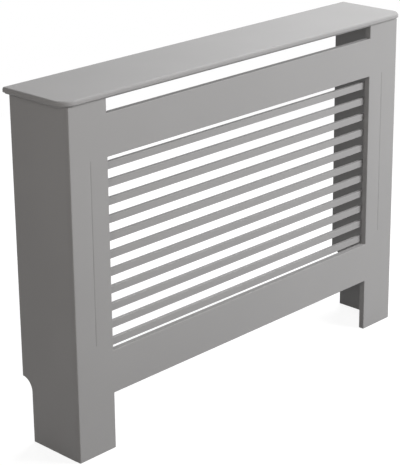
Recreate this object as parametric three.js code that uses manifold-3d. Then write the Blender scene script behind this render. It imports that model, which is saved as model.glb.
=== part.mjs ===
// A flat-pack radiator cover cabinet of painted MDF.
// A slotted and grooved front panel carries eleven slats on its back. Two side panels stand behind it,
// notched for a skirting board, and a moulded shelf lies on top. Cam locks, bolts and dowels join the
// boards, and two steel angles under the shelf hold the cover to the wall.
// Millimetres, +Z up, front towards -Y. The origin is the middle of the footprint, on the floor.

import * as THREE from 'three';
import { mergeVertices } from 'three/addons/utils/BufferGeometryUtils.js';
import Module from 'manifold-3d';

const wasm = await Module();
wasm.setup();

// ---------------------------------------------------------------- driving dimensions

const OVERALL_WIDTH = 1120;
const OVERALL_DEPTH = 190;
const OVERALL_HEIGHT = 815;
const BOARD = 15; // thickness of the shelf, front and side boards
const SIDE_OVERHANG = 17; // shelf past each side panel
const FRONT_OVERHANG = 7; // shelf past the front panel
const FIT_GAP = 0.3; // clearance at every fastener's end
const ROUND_GAP = 0.5; // clearance round every fastener, from corner to corner of the facets

// shelf edge
const CORNER_RADIUS = 34;
const TOP_EDGE_RADIUS = 1.5;
const OGEE_RADIUS = 3.5;

// front panel
const STILE_WIDTH = 106;
const LEG_HEIGHT = 133;
const OPENING_BOTTOM = 234;
const OPENING_TOP = 673;
const SLOT_BOTTOM = 768;
const GROOVE_FROM_EDGE = 57;
const GROOVE_BOTTOM = 256;
const GROOVE_TOP = 677;
const GROOVE_WIDTH = 6;
const GROOVE_DEPTH = 3;
const GROOVE_TIP = 0.15; // half the flat that the cutter leaves at the bottom

// slats
const SLAT_COUNT = 11;
const SLAT_PITCH = 40.2;
const SLAT_HEIGHT = 17;
const SLAT_THICKNESS = 9;
const SLAT_FIRST_BOTTOM = 237.5;
const SLAT_END_LAP = 30; // length that lies on each stile
const SLAT_EDGE_EASE = 0.75;

// skirting-board notch in the side panels
const SKIRTING_DEPTH = 30;
const SKIRTING_HEIGHT = 152;

// cam locks, bolts and dowels
const CAM_RADIUS = 7.2;
const CAM_LENGTH = 12;
const CAM_BORE_RADIUS = CAM_RADIUS + ROUND_GAP;
const CAM_BORE_DEPTH = CAM_LENGTH + FIT_GAP;
const CAM_SETBACK = 34; // cam axis to the edge that it pulls against its neighbour
const CAM_SIDES = 20;
const CAM_CAVITY_RADIUS = 4.4;
const CAM_CAVITY_OFFSET = 0.4; // the cavity is eccentric, which draws the bolt in
const CAM_CAVITY_HALF = 3.75; // half the height of the space for the bolt's head
const CAM_SLOT_HALF = 2.3; // half the height of the slot that the bolt's neck sweeps
const DRIVER_LENGTH = 7; // the cross for the screwdriver
const DRIVER_WIDTH = 1.3;
const DRIVER_DEPTH = 1.8;
const BOLT_HEAD_RADIUS = 3.3;
const BOLT_NECK_RADIUS = 1.8;
const BOLT_SHANK_RADIUS = 3;
const BOLT_COLLAR_RADIUS = 3.5;
const BOLT_COLLAR_LENGTH = 1.5;
const BOLT_THREAD_RADIUS = 2.5;
const BOLT_THREAD_LENGTH = 11;
const BOLT_THREAD_TAPER = 2;
const BOLT_NECK_TAPER = 1;
const BOLT_BORE_RADIUS = BOLT_COLLAR_RADIUS + ROUND_GAP;
const FRONT_CAM_HEIGHTS = { bottom: 100, middle: 400, top: 700 };
const SHELF_CAM_PLACES = { front: -40, rear: 70 }; // along the depth
const DOWEL_RADIUS = 4;
const DOWEL_LENGTH = 30;
const DOWEL_IN_FACE = 10.5; // the rest stands in the side panel's edge
const DOWEL_CHAMFER = 1;
const FRONT_DOWEL_HEIGHTS = { lower: 200, upper: 600 };
const SHELF_DOWEL_PLACES = { front: -10, rear: 40 };
const ROUND_SIDES = 10; // facets of the small round parts

// wall brackets and their screws
const BRACKET_FROM_MIDDLE = 300;
const BRACKET_WIDTH = 20;
const BRACKET_LEG = 36;
const BRACKET_STEEL = 2;
const BRACKET_BEND = 4; // outer radius of the bend
const BRACKET_HOLE_RADIUS = 2.2;
const BRACKET_SCREW_PLACES = { rear: 11, front: 26 }; // from the wall face
const WALL_SLOT_DROP = 22; // below the shelf
const WALL_SLOT_LENGTH = 12;
const SCREW_RADIUS = 1.6;
const SCREW_LENGTH = 10;
const SCREW_POINT = 2;
const SCREW_HEAD_RADIUS = 3.6;
const SCREW_HEAD_HEIGHT = 2.2;
const SCREW_HEAD_FLAT = 2.5; // radius of the flat on top of the head
const SCREW_HEAD_RIM = 0.9; // height of the head's straight rim

// ---------------------------------------------------------------- derived places

const CARCASS_HEIGHT = OVERALL_HEIGHT - BOARD;
const HALF_CARCASS = OVERALL_WIDTH / 2 - SIDE_OVERHANG;
const Y_REAR = OVERALL_DEPTH / 2;
const Y_FACE = -OVERALL_DEPTH / 2 + FRONT_OVERHANG; // front face of the front panel
const Y_PANEL_BACK = Y_FACE + BOARD;
const HALF_OPENING = HALF_CARCASS - STILE_WIDTH;
const X_INNER = HALF_CARCASS - BOARD; // inner faces of the side panels
const X_JOINT = HALF_CARCASS - BOARD / 2; // mid-thickness of the side panels
const Y_SLAT_BACK = Y_PANEL_BACK + SLAT_THICKNESS;
const SIDES = { left: -1, right: 1 };
const PROUD = 1; // how far a cutter starts outside the face that it cuts
const QUARTER_TURN = Math.PI / 2;
const ARC_STEPS = 10; // straight steps in a large arc
const SMALL_ARC_STEPS = 4; // and in a small one

// ---------------------------------------------------------------- geometry helpers

const point = (x, y, z = 0) => new THREE.Vector3(x, y, z);

const X_AXIS = point(1, 0, 0);
const BACKWARDS = point(0, 1, 0);
const FORWARDS = point(0, -1, 0);
const UP = point(0, 0, 1);
const DOWN = point(0, 0, -1);

/** Turns a closed three.js geometry into a solid for cutting. */
function solid(geometry) {
  const bare = geometry.clone();
  bare.deleteAttribute('normal');
  bare.deleteAttribute('uv');
  const merged = mergeVertices(bare, 1e-4);
  return new wasm.Manifold(new wasm.Mesh({
    numProp: 3,
    vertProperties: new Float32Array(merged.attributes.position.array),
    triVerts: new Uint32Array(merged.index.array),
  }));
}

/** Turns a cut solid back into a three.js geometry. */
function geometryOf(body) {
  const mesh = body.getMesh();
  const geometry = new THREE.BufferGeometry();
  geometry.setAttribute('position', new THREE.BufferAttribute(mesh.vertProperties, 3));
  geometry.setIndex(new THREE.BufferAttribute(mesh.triVerts, 1));
  geometry.computeVertexNormals();
  return geometry;
}

/** Cuts every cutter geometry out of a base geometry. */
function cut(base, cutters) {
  let body = solid(base);
  for (const cutter of cutters) body = body.subtract(solid(cutter));
  return geometryOf(body);
}

/** A closed skin through convex rings of equal point count, each anticlockwise as seen from the last one. */
function loft(rings) {
  const count = rings[0].length;
  const position = rings.flat().flatMap((p) => [p.x, p.y, p.z]);
  const index = [];
  for (let r = 0; r < rings.length - 1; r += 1) {
    for (let i = 0; i < count; i += 1) {
      const a = r * count + i;
      const b = r * count + ((i + 1) % count);
      index.push(a, b, b + count, a, b + count, a + count);
    }
  }
  const last = (rings.length - 1) * count;
  for (let i = 1; i < count - 1; i += 1) {
    index.push(0, i + 1, i);
    index.push(last, last + i, last + i + 1);
  }
  const geometry = new THREE.BufferGeometry();
  geometry.setAttribute('position', new THREE.Float32BufferAttribute(position, 3));
  geometry.setIndex(index);
  return geometry;
}

/** A block between two corners. */
function block(low, high) {
  const size = high.clone().sub(low);
  const middle = high.clone().add(low).multiplyScalar(0.5);
  return new THREE.BoxGeometry(size.x, size.y, size.z).translate(middle.x, middle.y, middle.z);
}

/** A cylinder from a start point along a direction. */
function rod(start, direction, length, radius, sides = ROUND_SIDES) {
  const geometry = new THREE.CylinderGeometry(radius, radius, length, sides);
  geometry.translate(0, length / 2, 0);
  return place(geometry, start, direction);
}

/** Turns a geometry that was made along +Y to lie along a direction, then moves it. */
function place(geometry, start, direction) {
  const turn = new THREE.Quaternion().setFromUnitVectors(point(0, 1, 0), direction);
  return geometry.applyQuaternion(turn).translate(start.x, start.y, start.z);
}

/** A turned piece along +Y from a profile of radii and places on the axis, which starts and ends on it. */
function turned(profile) {
  return new THREE.LatheGeometry(profile.map(([r, y]) => new THREE.Vector2(r, y)), ROUND_SIDES);
}

/** A board cut from a flat outline in the YZ plane, between two X faces. */
function extrudeAlongX(shape, xLow, thickness, curveSegments = ARC_STEPS) {
  const geometry = new THREE.ExtrudeGeometry(shape, { depth: thickness, bevelEnabled: false, curveSegments });
  // the outline's x and y become depth and height, and the thickness runs along +X
  geometry.applyMatrix4(new THREE.Matrix4().makeBasis(BACKWARDS, UP, X_AXIS).setPosition(xLow, 0, 0));
  return geometry;
}

/** A board cut from a flat outline in the XZ plane, between two Y faces. */
function extrudeAlongY(shape, yLow, thickness, curveSegments = ARC_STEPS) {
  const geometry = new THREE.ExtrudeGeometry(shape, { depth: thickness, bevelEnabled: false, curveSegments });
  geometry.rotateX(Math.PI / 2); // the outline's y becomes height, and the thickness runs along -Y
  return geometry.translate(0, yLow + thickness, 0);
}

/** A closed path of straight lines. */
function outline(corners) {
  return new THREE.Shape(corners.map(([x, y]) => new THREE.Vector2(x, y)));
}

/** A rectangular hole path. */
function hole(x0, y0, x1, y1) {
  return new THREE.Path([[x0, y0], [x0, y1], [x1, y1], [x1, y0]].map(([x, y]) => new THREE.Vector2(x, y)));
}

// ---------------------------------------------------------------- materials

const PAINT = { color: 0x9b9a99, roughness: 0.55, metalness: 0 };
const ZINC = { color: 0xb4b3ae, roughness: 0.4, metalness: 1 };
const STEEL = { color: 0xa9abad, roughness: 0.35, metalness: 1 };
const BEECH = { color: 0xc9a577, roughness: 0.7, metalness: 0 };

const cabinet = new THREE.Group();

/** Adds one named piece to the cabinet. */
function addPiece(name, geometry, finish) {
  const mesh = new THREE.Mesh(geometry, new THREE.MeshStandardMaterial(finish));
  mesh.name = name;
  cabinet.add(mesh);
  return mesh;
}

// ---------------------------------------------------------------- fastener layout

/** The cams of one side panel: name, axis point on the inner face, and the way its bolt leaves the cam. */
function camsOf(sideName) {
  const x = SIDES[sideName] * X_INNER;
  const frontCams = Object.entries(FRONT_CAM_HEIGHTS).map(([where, z]) => ({
    name: `${sideName}_front_cam_${where}`,
    centre: point(x, Y_PANEL_BACK + CAM_SETBACK, z),
    towardsFace: FORWARDS,
  }));
  const shelfCams = Object.entries(SHELF_CAM_PLACES).map(([where, y]) => ({
    name: `${sideName}_shelf_cam_${where}`,
    centre: point(x, y, CARCASS_HEIGHT - CAM_SETBACK),
    towardsFace: UP,
  }));
  return [...frontCams, ...shelfCams];
}

/** Where each bolt enters the face that it is screwed into, and the way it points out of that face. */
function boltSeats(sideName) {
  return camsOf(sideName).map(({ name, centre, towardsFace }) => ({
    name: name.replace('cam', 'bolt'),
    seat: centre.clone().setX(SIDES[sideName] * X_JOINT).addScaledVector(towardsFace, CAM_SETBACK),
    outOfFace: towardsFace.clone().negate(),
  }));
}

/** The same for each dowel. */
function dowelSeats(sideName) {
  const x = SIDES[sideName] * X_JOINT;
  const front = Object.entries(FRONT_DOWEL_HEIGHTS).map(([where, z]) => ({
    name: `${sideName}_front_dowel_${where}`,
    seat: point(x, Y_PANEL_BACK, z),
    outOfFace: BACKWARDS,
  }));
  const shelf = Object.entries(SHELF_DOWEL_PLACES).map(([where, y]) => ({
    name: `${sideName}_shelf_dowel_${where}`,
    seat: point(x, y, CARCASS_HEIGHT),
    outOfFace: DOWN,
  }));
  return [...front, ...shelf];
}

/** The cutter of a blind hole that goes into a face. */
function blindHole(mouth, into, depth, radius, sides = ROUND_SIDES) {
  return rod(mouth.clone().addScaledVector(into, -PROUD), into, depth + PROUD, radius, sides);
}

/** Blind holes that the shelf or the front panel needs for the bolts and dowels that enter it. */
function faceHoles(isOnFace) {
  return Object.keys(SIDES).flatMap((sideName) => {
    const bolts = boltSeats(sideName).filter(isOnFace).map(({ seat, outOfFace }) => {
      const into = outOfFace.clone().negate();
      return blindHole(seat, into, BOLT_THREAD_LENGTH + FIT_GAP, BOLT_THREAD_RADIUS + ROUND_GAP);
    });
    const dowels = dowelSeats(sideName).filter(isOnFace).map(({ seat, outOfFace }) => {
      const into = outOfFace.clone().negate();
      return blindHole(seat, into, DOWEL_IN_FACE + FIT_GAP, DOWEL_RADIUS + ROUND_GAP);
    });
    return [...bolts, ...dowels];
  });
}

// ---------------------------------------------------------------- top shelf

/** The shelf's outline, drawn in by an inset on the front and sides; the rear edge stays straight. */
function shelfRing(inset, z) {
  const halfWidth = OVERALL_WIDTH / 2 - inset;
  const radius = CORNER_RADIUS - inset;
  const ring = [point(halfWidth, Y_REAR, z), point(-halfWidth, Y_REAR, z)];
  for (const [side, from] of [[-1, 2 * QUARTER_TURN], [1, 3 * QUARTER_TURN]]) {
    for (let i = 0; i <= ARC_STEPS; i += 1) {
      const angle = from + QUARTER_TURN * (i / ARC_STEPS);
      const x = side * (OVERALL_WIDTH / 2 - CORNER_RADIUS) + radius * Math.cos(angle);
      const y = -OVERALL_DEPTH / 2 + CORNER_RADIUS + radius * Math.sin(angle);
      ring.push(point(x, y, z));
    }
  }
  return ring;
}

/** The moulded edge from bottom to top: a cove, a quarter round, a plain band and an eased top edge. */
function shelfEdgeProfile() {
  const arc = (inset, z, radius, from, to) => {
    return Array.from({ length: SMALL_ARC_STEPS + 1 }, (_, i) => {
      const angle = from + (to - from) * (i / SMALL_ARC_STEPS);
      return [inset + radius * Math.cos(angle), z + radius * Math.sin(angle)];
    });
  };
  const cove = arc(OGEE_RADIUS, CARCASS_HEIGHT, OGEE_RADIUS, 0, QUARTER_TURN);
  const bandBottom = CARCASS_HEIGHT + 2 * OGEE_RADIUS;
  const quarterRound = arc(OGEE_RADIUS, bandBottom, OGEE_RADIUS, 3 * QUARTER_TURN, 2 * QUARTER_TURN);
  const easedFrom = OVERALL_HEIGHT - TOP_EDGE_RADIUS;
  const easedTop = arc(TOP_EDGE_RADIUS, easedFrom, TOP_EDGE_RADIUS, 2 * QUARTER_TURN, QUARTER_TURN);
  return [...cove.slice(0, -1), ...quarterRound, ...easedTop];
}

function buildShelf() {
  const board = loft(shelfEdgeProfile().map(([inset, z]) => shelfRing(inset, z)));
  const isOnShelf = ({ seat }) => seat.z === CARCASS_HEIGHT;
  const pilots = Object.keys(SIDES).flatMap(bracketScrews).map(({ seat }) => {
    return blindHole(seat, UP, SCREW_LENGTH, SCREW_RADIUS + ROUND_GAP);
  });
  addPiece('top_shelf', cut(board, [...faceHoles(isOnShelf), ...pilots]), PAINT);
}

// ---------------------------------------------------------------- front panel

/** The cutter of a V-groove: wide at the panel's face and narrow at the groove's bottom. */
function grooveCutter(x) {
  const ring = (halfWidth, y) => {
    const corners = [];
    const ends = [[GROOVE_TOP - GROOVE_WIDTH / 2, 0], [GROOVE_BOTTOM + GROOVE_WIDTH / 2, 2 * QUARTER_TURN]];
    for (const [z, from] of ends) {
      for (let i = 0; i <= SMALL_ARC_STEPS; i += 1) {
        const angle = from + 2 * QUARTER_TURN * (i / SMALL_ARC_STEPS);
        corners.push(point(x + halfWidth * Math.cos(angle), y, z + halfWidth * Math.sin(angle)));
      }
    }
    return corners;
  };
  const slope = (GROOVE_WIDTH / 2 - GROOVE_TIP) / GROOVE_DEPTH;
  const mouth = GROOVE_WIDTH / 2 + PROUD * slope;
  return loft([ring(GROOVE_TIP, Y_FACE + GROOVE_DEPTH), ring(mouth, Y_FACE - PROUD)]);
}

function buildFrontPanel() {
  const w = HALF_CARCASS;
  const o = HALF_OPENING;
  const shape = outline([
    [-w, 0], [-o, 0], [-o, LEG_HEIGHT], [o, LEG_HEIGHT], [o, 0], [w, 0],
    [w, CARCASS_HEIGHT], [o, CARCASS_HEIGHT], [o, SLOT_BOTTOM], [-o, SLOT_BOTTOM], [-o, CARCASS_HEIGHT],
    [-w, CARCASS_HEIGHT],
  ]);
  shape.holes.push(hole(-o, OPENING_BOTTOM, o, OPENING_TOP));
  const sheet = extrudeAlongY(shape, Y_FACE, BOARD);
  const isOnPanel = ({ seat }) => seat.y === Y_PANEL_BACK;
  const grooves = Object.values(SIDES).map((side) => grooveCutter(side * (w - GROOVE_FROM_EDGE)));
  addPiece('front_panel', cut(sheet, [...faceHoles(isOnPanel), ...grooves]), PAINT);
}

// ---------------------------------------------------------------- slats

/** Height of a slat's middle; slat 0 is the lowest. */
function slatMiddle(slatIndex) {
  return SLAT_FIRST_BOTTOM + SLAT_PITCH * slatIndex + SLAT_HEIGHT / 2;
}

function buildSlats() {
  const halfLength = HALF_OPENING + SLAT_END_LAP;
  const h = SLAT_HEIGHT / 2;
  const e = SLAT_EDGE_EASE;
  for (let i = 0; i < SLAT_COUNT; i += 1) {
    const z = slatMiddle(i);
    const section = outline([
      [Y_PANEL_BACK + e, z - h], [Y_SLAT_BACK - e, z - h],
      [Y_SLAT_BACK, z - h + e], [Y_SLAT_BACK, z + h - e],
      [Y_SLAT_BACK - e, z + h], [Y_PANEL_BACK + e, z + h],
      [Y_PANEL_BACK, z + h - e], [Y_PANEL_BACK, z - h + e],
    ]);
    const number = String(SLAT_COUNT - i).padStart(2, '0'); // slat_01 is the top one
    addPiece(`slat_${number}`, extrudeAlongX(section, -halfLength, 2 * halfLength), PAINT);
  }
}

// ---------------------------------------------------------------- side panels

/** The side board's outline in depth and height, notched at the rear foot to clear a skirting board. */
function sideOutline() {
  const shape = new THREE.Shape();
  shape.moveTo(Y_PANEL_BACK, 0);
  shape.lineTo(Y_REAR - SKIRTING_DEPTH, 0);
  shape.lineTo(Y_REAR - SKIRTING_DEPTH, SKIRTING_HEIGHT - SKIRTING_DEPTH);
  shape.absarc(Y_REAR, SKIRTING_HEIGHT - SKIRTING_DEPTH, SKIRTING_DEPTH, Math.PI, QUARTER_TURN, true);
  shape.lineTo(Y_REAR, CARCASS_HEIGHT);
  shape.lineTo(Y_PANEL_BACK, CARCASS_HEIGHT);
  shape.closePath();
  return shape;
}

function buildSidePanel(sideName) {
  const side = SIDES[sideName];
  const board = extrudeAlongX(sideOutline(), side > 0 ? X_INNER : -HALF_CARCASS, BOARD);
  const outwards = X_AXIS.clone().multiplyScalar(side);
  const camBores = camsOf(sideName).map(({ centre }) => {
    return blindHole(centre, outwards, CAM_BORE_DEPTH, CAM_BORE_RADIUS, CAM_SIDES);
  });
  const boltBores = boltSeats(sideName).map(({ seat, outOfFace }) => {
    return blindHole(seat, outOfFace, CAM_SETBACK, BOLT_BORE_RADIUS);
  });
  const dowelHoles = dowelSeats(sideName).map(({ seat, outOfFace }) => {
    return blindHole(seat, outOfFace, DOWEL_LENGTH - DOWEL_IN_FACE + FIT_GAP, DOWEL_RADIUS + ROUND_GAP);
  });
  addPiece(`${sideName}_side_panel`, cut(board, [...camBores, ...boltBores, ...dowelHoles]), PAINT);
}

// ---------------------------------------------------------------- cam locks

/**
 * One cam, made with its driver face at the origin and its axis along +Z into the bore, locked on a bolt
 * that leaves along +X. Half a turn anticlockwise, as seen by the driver, brings the entry hole to the bolt.
 */
function camGeometry() {
  const circle = new THREE.Shape().absarc(0, 0, CAM_RADIUS, 0, 2 * Math.PI);
  const drum = new THREE.ExtrudeGeometry(circle, {
    depth: CAM_LENGTH,
    bevelEnabled: false,
    curveSegments: CAM_SIDES / 2,
  });
  const middle = BOARD / 2; // the bolt's height above the driver face
  const past = 2 * CAM_RADIUS;
  const cavityStart = point(-CAM_CAVITY_OFFSET, 0, middle - CAM_CAVITY_HALF);
  const cavity = rod(cavityStart, UP, 2 * CAM_CAVITY_HALF, CAM_CAVITY_RADIUS);
  const slotEdge = BOLT_NECK_RADIUS + ROUND_GAP;
  const slot = block(
    point(-past, -slotEdge, middle - CAM_SLOT_HALF),
    point(past, past, middle + CAM_SLOT_HALF),
  );
  const entry = rod(point(0, 0, middle), X_AXIS.clone().negate(), past, CAM_CAVITY_HALF);
  const long = DRIVER_LENGTH / 2;
  const wide = DRIVER_WIDTH / 2;
  const cross = [[long, wide], [wide, long]].map(([x, y]) => {
    return block(point(-x, -y, -PROUD), point(x, y, DRIVER_DEPTH));
  });
  return cut(drum, [cavity, slot, entry, ...cross]);
}

/** Places a cam on a side panel: its axis into the bore and its bolt side towards the joined face. */
function buildCams(sideName) {
  const into = X_AXIS.clone().multiplyScalar(SIDES[sideName]);
  for (const { name, centre, towardsFace } of camsOf(sideName)) {
    const across = new THREE.Vector3().crossVectors(into, towardsFace);
    const cam = addPiece(name, camGeometry(), ZINC);
    cam.quaternion.setFromRotationMatrix(new THREE.Matrix4().makeBasis(towardsFace, across, into));
    cam.position.copy(centre);
  }
}

// ---------------------------------------------------------------- bolts and dowels

/** A cam bolt along +Y: thread in the face below zero, then collar, shank, neck and head. */
function boltGeometry() {
  const neckStart = CAM_SETBACK - CAM_RADIUS - BOLT_NECK_TAPER;
  const collarEnd = FIT_GAP + BOLT_COLLAR_LENGTH;
  const shank = [
    [0, -BOLT_THREAD_LENGTH],
    [BOLT_THREAD_RADIUS, -BOLT_THREAD_LENGTH + BOLT_THREAD_TAPER],
    [BOLT_THREAD_RADIUS, FIT_GAP],
    [BOLT_COLLAR_RADIUS, FIT_GAP],
    [BOLT_COLLAR_RADIUS, collarEnd],
    [BOLT_SHANK_RADIUS, collarEnd],
    [BOLT_SHANK_RADIUS, neckStart - BOLT_NECK_TAPER],
    [BOLT_NECK_RADIUS, neckStart],
  ];
  const neckAngle = Math.acos(BOLT_NECK_RADIUS / BOLT_HEAD_RADIUS);
  const head = Array.from({ length: SMALL_ARC_STEPS }, (_, i) => {
    const angle = -neckAngle + (QUARTER_TURN + neckAngle) * (i / SMALL_ARC_STEPS);
    return [BOLT_HEAD_RADIUS * Math.cos(angle), CAM_SETBACK + BOLT_HEAD_RADIUS * Math.sin(angle)];
  });
  return turned([...shank, ...head, [0, CAM_SETBACK + BOLT_HEAD_RADIUS]]);
}

/** A dowel along +Y with chamfered ends, its short part in the face below zero. */
function dowelGeometry() {
  const profile = [
    [0, -DOWEL_IN_FACE],
    [DOWEL_RADIUS - DOWEL_CHAMFER, -DOWEL_IN_FACE],
    [DOWEL_RADIUS, -DOWEL_IN_FACE + DOWEL_CHAMFER],
    [DOWEL_RADIUS, DOWEL_LENGTH - DOWEL_IN_FACE - DOWEL_CHAMFER],
    [DOWEL_RADIUS - DOWEL_CHAMFER, DOWEL_LENGTH - DOWEL_IN_FACE],
    [0, DOWEL_LENGTH - DOWEL_IN_FACE],
  ];
  return turned(profile);
}

/** The bolts and dowels of one side panel. */
function buildJointFasteners(sideName) {
  for (const { name, seat, outOfFace } of boltSeats(sideName)) {
    addPiece(name, place(boltGeometry(), seat, outOfFace), STEEL);
  }
  for (const { name, seat, outOfFace } of dowelSeats(sideName)) {
    addPiece(name, place(dowelGeometry(), seat, outOfFace), BEECH);
  }
}

// ---------------------------------------------------------------- wall brackets

/** The places of one bracket's screws on the shelf's underside. */
function bracketScrews(sideName) {
  return Object.entries(BRACKET_SCREW_PLACES).map(([where, back]) => ({
    name: `${sideName}_bracket_screw_${where}`,
    seat: point(SIDES[sideName] * BRACKET_FROM_MIDDLE, Y_REAR - back, CARCASS_HEIGHT),
  }));
}

/** A bent steel angle: one leg under the shelf, one down the wall. */
function buildBracket(sideName) {
  const x = SIDES[sideName] * BRACKET_FROM_MIDDLE;
  const t = BRACKET_STEEL;
  const r = BRACKET_BEND;
  const shape = new THREE.Shape();
  shape.moveTo(Y_REAR, CARCASS_HEIGHT - BRACKET_LEG);
  shape.lineTo(Y_REAR, CARCASS_HEIGHT - r);
  shape.absarc(Y_REAR - r, CARCASS_HEIGHT - r, r, 0, QUARTER_TURN, false);
  shape.lineTo(Y_REAR - BRACKET_LEG, CARCASS_HEIGHT);
  shape.lineTo(Y_REAR - BRACKET_LEG, CARCASS_HEIGHT - t);
  shape.lineTo(Y_REAR - r, CARCASS_HEIGHT - t);
  shape.absarc(Y_REAR - r, CARCASS_HEIGHT - r, r - t, QUARTER_TURN, 0, true);
  shape.lineTo(Y_REAR - t, CARCASS_HEIGHT - BRACKET_LEG);
  shape.closePath();
  const angle = extrudeAlongX(shape, x - BRACKET_WIDTH / 2, BRACKET_WIDTH, SMALL_ARC_STEPS);
  const screwHoles = bracketScrews(sideName).map(({ seat }) => {
    return blindHole(seat, DOWN, t + PROUD, BRACKET_HOLE_RADIUS);
  });
  const slotZ = CARCASS_HEIGHT - WALL_SLOT_DROP;
  const slotReach = WALL_SLOT_LENGTH / 2 - BRACKET_HOLE_RADIUS;
  const slotShape = new THREE.Shape();
  slotShape.absarc(x + slotReach, slotZ, BRACKET_HOLE_RADIUS, -QUARTER_TURN, QUARTER_TURN, false);
  slotShape.absarc(x - slotReach, slotZ, BRACKET_HOLE_RADIUS, QUARTER_TURN, 3 * QUARTER_TURN, false);
  const wallSlot = extrudeAlongY(slotShape, Y_REAR - t - PROUD, t + 2 * PROUD, SMALL_ARC_STEPS);
  addPiece(`${sideName}_wall_bracket`, cut(angle, [...screwHoles, wallSlot]), STEEL);
}

/** A pan-head screw along +Y, its head below zero. */
function screwGeometry() {
  const profile = [
    [0, -SCREW_HEAD_HEIGHT],
    [SCREW_HEAD_FLAT, -SCREW_HEAD_HEIGHT],
    [SCREW_HEAD_RADIUS, -SCREW_HEAD_RIM],
    [SCREW_HEAD_RADIUS, 0],
    [SCREW_RADIUS, 0],
    [SCREW_RADIUS, SCREW_LENGTH - SCREW_POINT],
    [0, SCREW_LENGTH],
  ];
  return turned(profile);
}

function buildBracketScrews(sideName) {
  const headGap = point(0, 0, -BRACKET_STEEL - FIT_GAP);
  for (const { name, seat } of bracketScrews(sideName)) {
    addPiece(name, place(screwGeometry(), seat.add(headGap), UP), STEEL);
  }
}

// ---------------------------------------------------------------- assembly

buildShelf();
buildFrontPanel();
buildSlats();
for (const sideName of Object.keys(SIDES)) {
  buildSidePanel(sideName);
  buildCams(sideName);
  buildJointFasteners(sideName);
  buildBracket(sideName);
  buildBracketScrews(sideName);
}

export default cabinet;
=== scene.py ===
"""The looks of a flat-pack radiator cover cabinet of grey painted MDF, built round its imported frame.

Sizes are millimetres where a class or a function says so, and mm() turns them into the metres of the frame.
The axes are the frame's: +X to the right as seen from the front, +Y back to the wall, +Z up.
"""

from __future__ import annotations

import logging
import math
import random
from dataclasses import dataclass, field
from enum import Enum
from typing import Callable, Iterable, Sequence

import bmesh
import bpy
from bmesh.types import BMEdge, BMesh, BMFace, BMVert
from mathutils import Euler, Matrix, Vector

import sys


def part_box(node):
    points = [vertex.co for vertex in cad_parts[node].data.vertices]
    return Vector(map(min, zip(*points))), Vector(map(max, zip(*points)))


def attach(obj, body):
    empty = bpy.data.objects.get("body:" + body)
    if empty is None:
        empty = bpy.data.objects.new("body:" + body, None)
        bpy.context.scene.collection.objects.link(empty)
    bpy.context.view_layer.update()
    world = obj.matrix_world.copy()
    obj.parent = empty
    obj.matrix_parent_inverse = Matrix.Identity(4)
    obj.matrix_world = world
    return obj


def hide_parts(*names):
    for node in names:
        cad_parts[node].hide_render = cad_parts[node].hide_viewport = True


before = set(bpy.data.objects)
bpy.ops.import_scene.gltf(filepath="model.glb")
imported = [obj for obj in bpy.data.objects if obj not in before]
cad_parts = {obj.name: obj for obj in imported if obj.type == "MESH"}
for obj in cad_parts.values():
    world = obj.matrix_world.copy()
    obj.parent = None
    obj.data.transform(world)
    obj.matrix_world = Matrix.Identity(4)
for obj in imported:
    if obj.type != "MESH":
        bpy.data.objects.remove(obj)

log = logging.getLogger("radiator_cover")

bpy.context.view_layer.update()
CARCASS = "carcass"  # the body that all but the cam locks ride on

SHARP_ANGLE = math.radians(35)  # an edge that turns by more stays crisp in the shading
FLAT = 0.99  # cosine from which a face counts as square to an axis
TOUCHING = 1e-6  # metres within which two points are one
NEAR = 0.01  # millimetres within which two places are one
FIT_GAP = 0.3  # millimetres that a fastener's hole is longer at each end
PROUD = 1  # millimetres that a cutter starts outside the face that it cuts

Tree = bpy.types.NodeTree
Socket = bpy.types.NodeSocket


def mm(length: float) -> float:
    """Millimetres as metres."""
    return length / 1000


class Side(Enum):
    """The cabinet's sides as seen from the front, each with the sign of its X."""

    LEFT = -1
    RIGHT = 1

    @property
    def word(self) -> str:
        """The side as the nodes' names begin."""
        return self.name.lower()

    @property
    def outwards(self) -> Vector:
        """The way out of the cabinet on this side."""
        return Vector((self.value, 0, 0))


class Axis(Enum):
    """The frame's axes, each with its place in a vector."""

    X = 0
    Y = 1
    Z = 2

    @property
    def vector(self) -> Vector:
        """The unit vector along the axis."""
        return Vector([float(place == self.value) for place in range(3)])


def span_of(node: str, axis: Axis) -> tuple[float, float]:
    """Where a CAD node's box starts and ends along an axis, in millimetres."""
    low, high = [round(corner[axis.value] * 1000, 3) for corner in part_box(node)]
    return low, high


def middle(node: str) -> Vector:
    """The middle of a CAD node's box, in metres."""
    low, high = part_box(node)
    return (low + high) / 2


# the cabinet's main sizes, in millimetres
HALF_WIDTH = span_of("top_shelf", Axis.X)[1]
REAR_Y = span_of("top_shelf", Axis.Y)[1]
CARCASS_HEIGHT, TOP_HEIGHT = span_of("top_shelf", Axis.Z)
HALF_CARCASS = span_of("front_panel", Axis.X)[1]  # middle to the outer faces of the side boards
FACE_Y, JOINT_Y = span_of("front_panel", Axis.Y)  # the front board's face and back
BOARD = JOINT_Y - FACE_Y


class Joint(Enum):
    """A side board's joints: the other board, the axis through its face, the face's place, the way out."""

    FRONT = ("front", Axis.Y, JOINT_Y, 1)
    SHELF = ("shelf", Axis.Z, CARCASS_HEIGHT, -1)

    @property
    def word(self) -> str:
        """The other board as it stands in the nodes' names."""
        return self.value[0]

    @property
    def axis(self) -> Axis:
        """The axis that the bolts and dowels of the joint lie along."""
        return self.value[1]

    @property
    def out(self) -> Vector:
        """The way out of the other board's face, into the side board."""
        return self.axis.vector * self.value[3]

    def seat(self, node: str) -> Vector:
        """Finds where a fastener enters the other board.

        Args:
            node: The fastener's CAD node.

        Returns:
            The point of the board's face on the fastener's middle line, in metres.
        """
        point = middle(node)
        point[self.axis.value] = mm(self.value[2])
        return point


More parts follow.
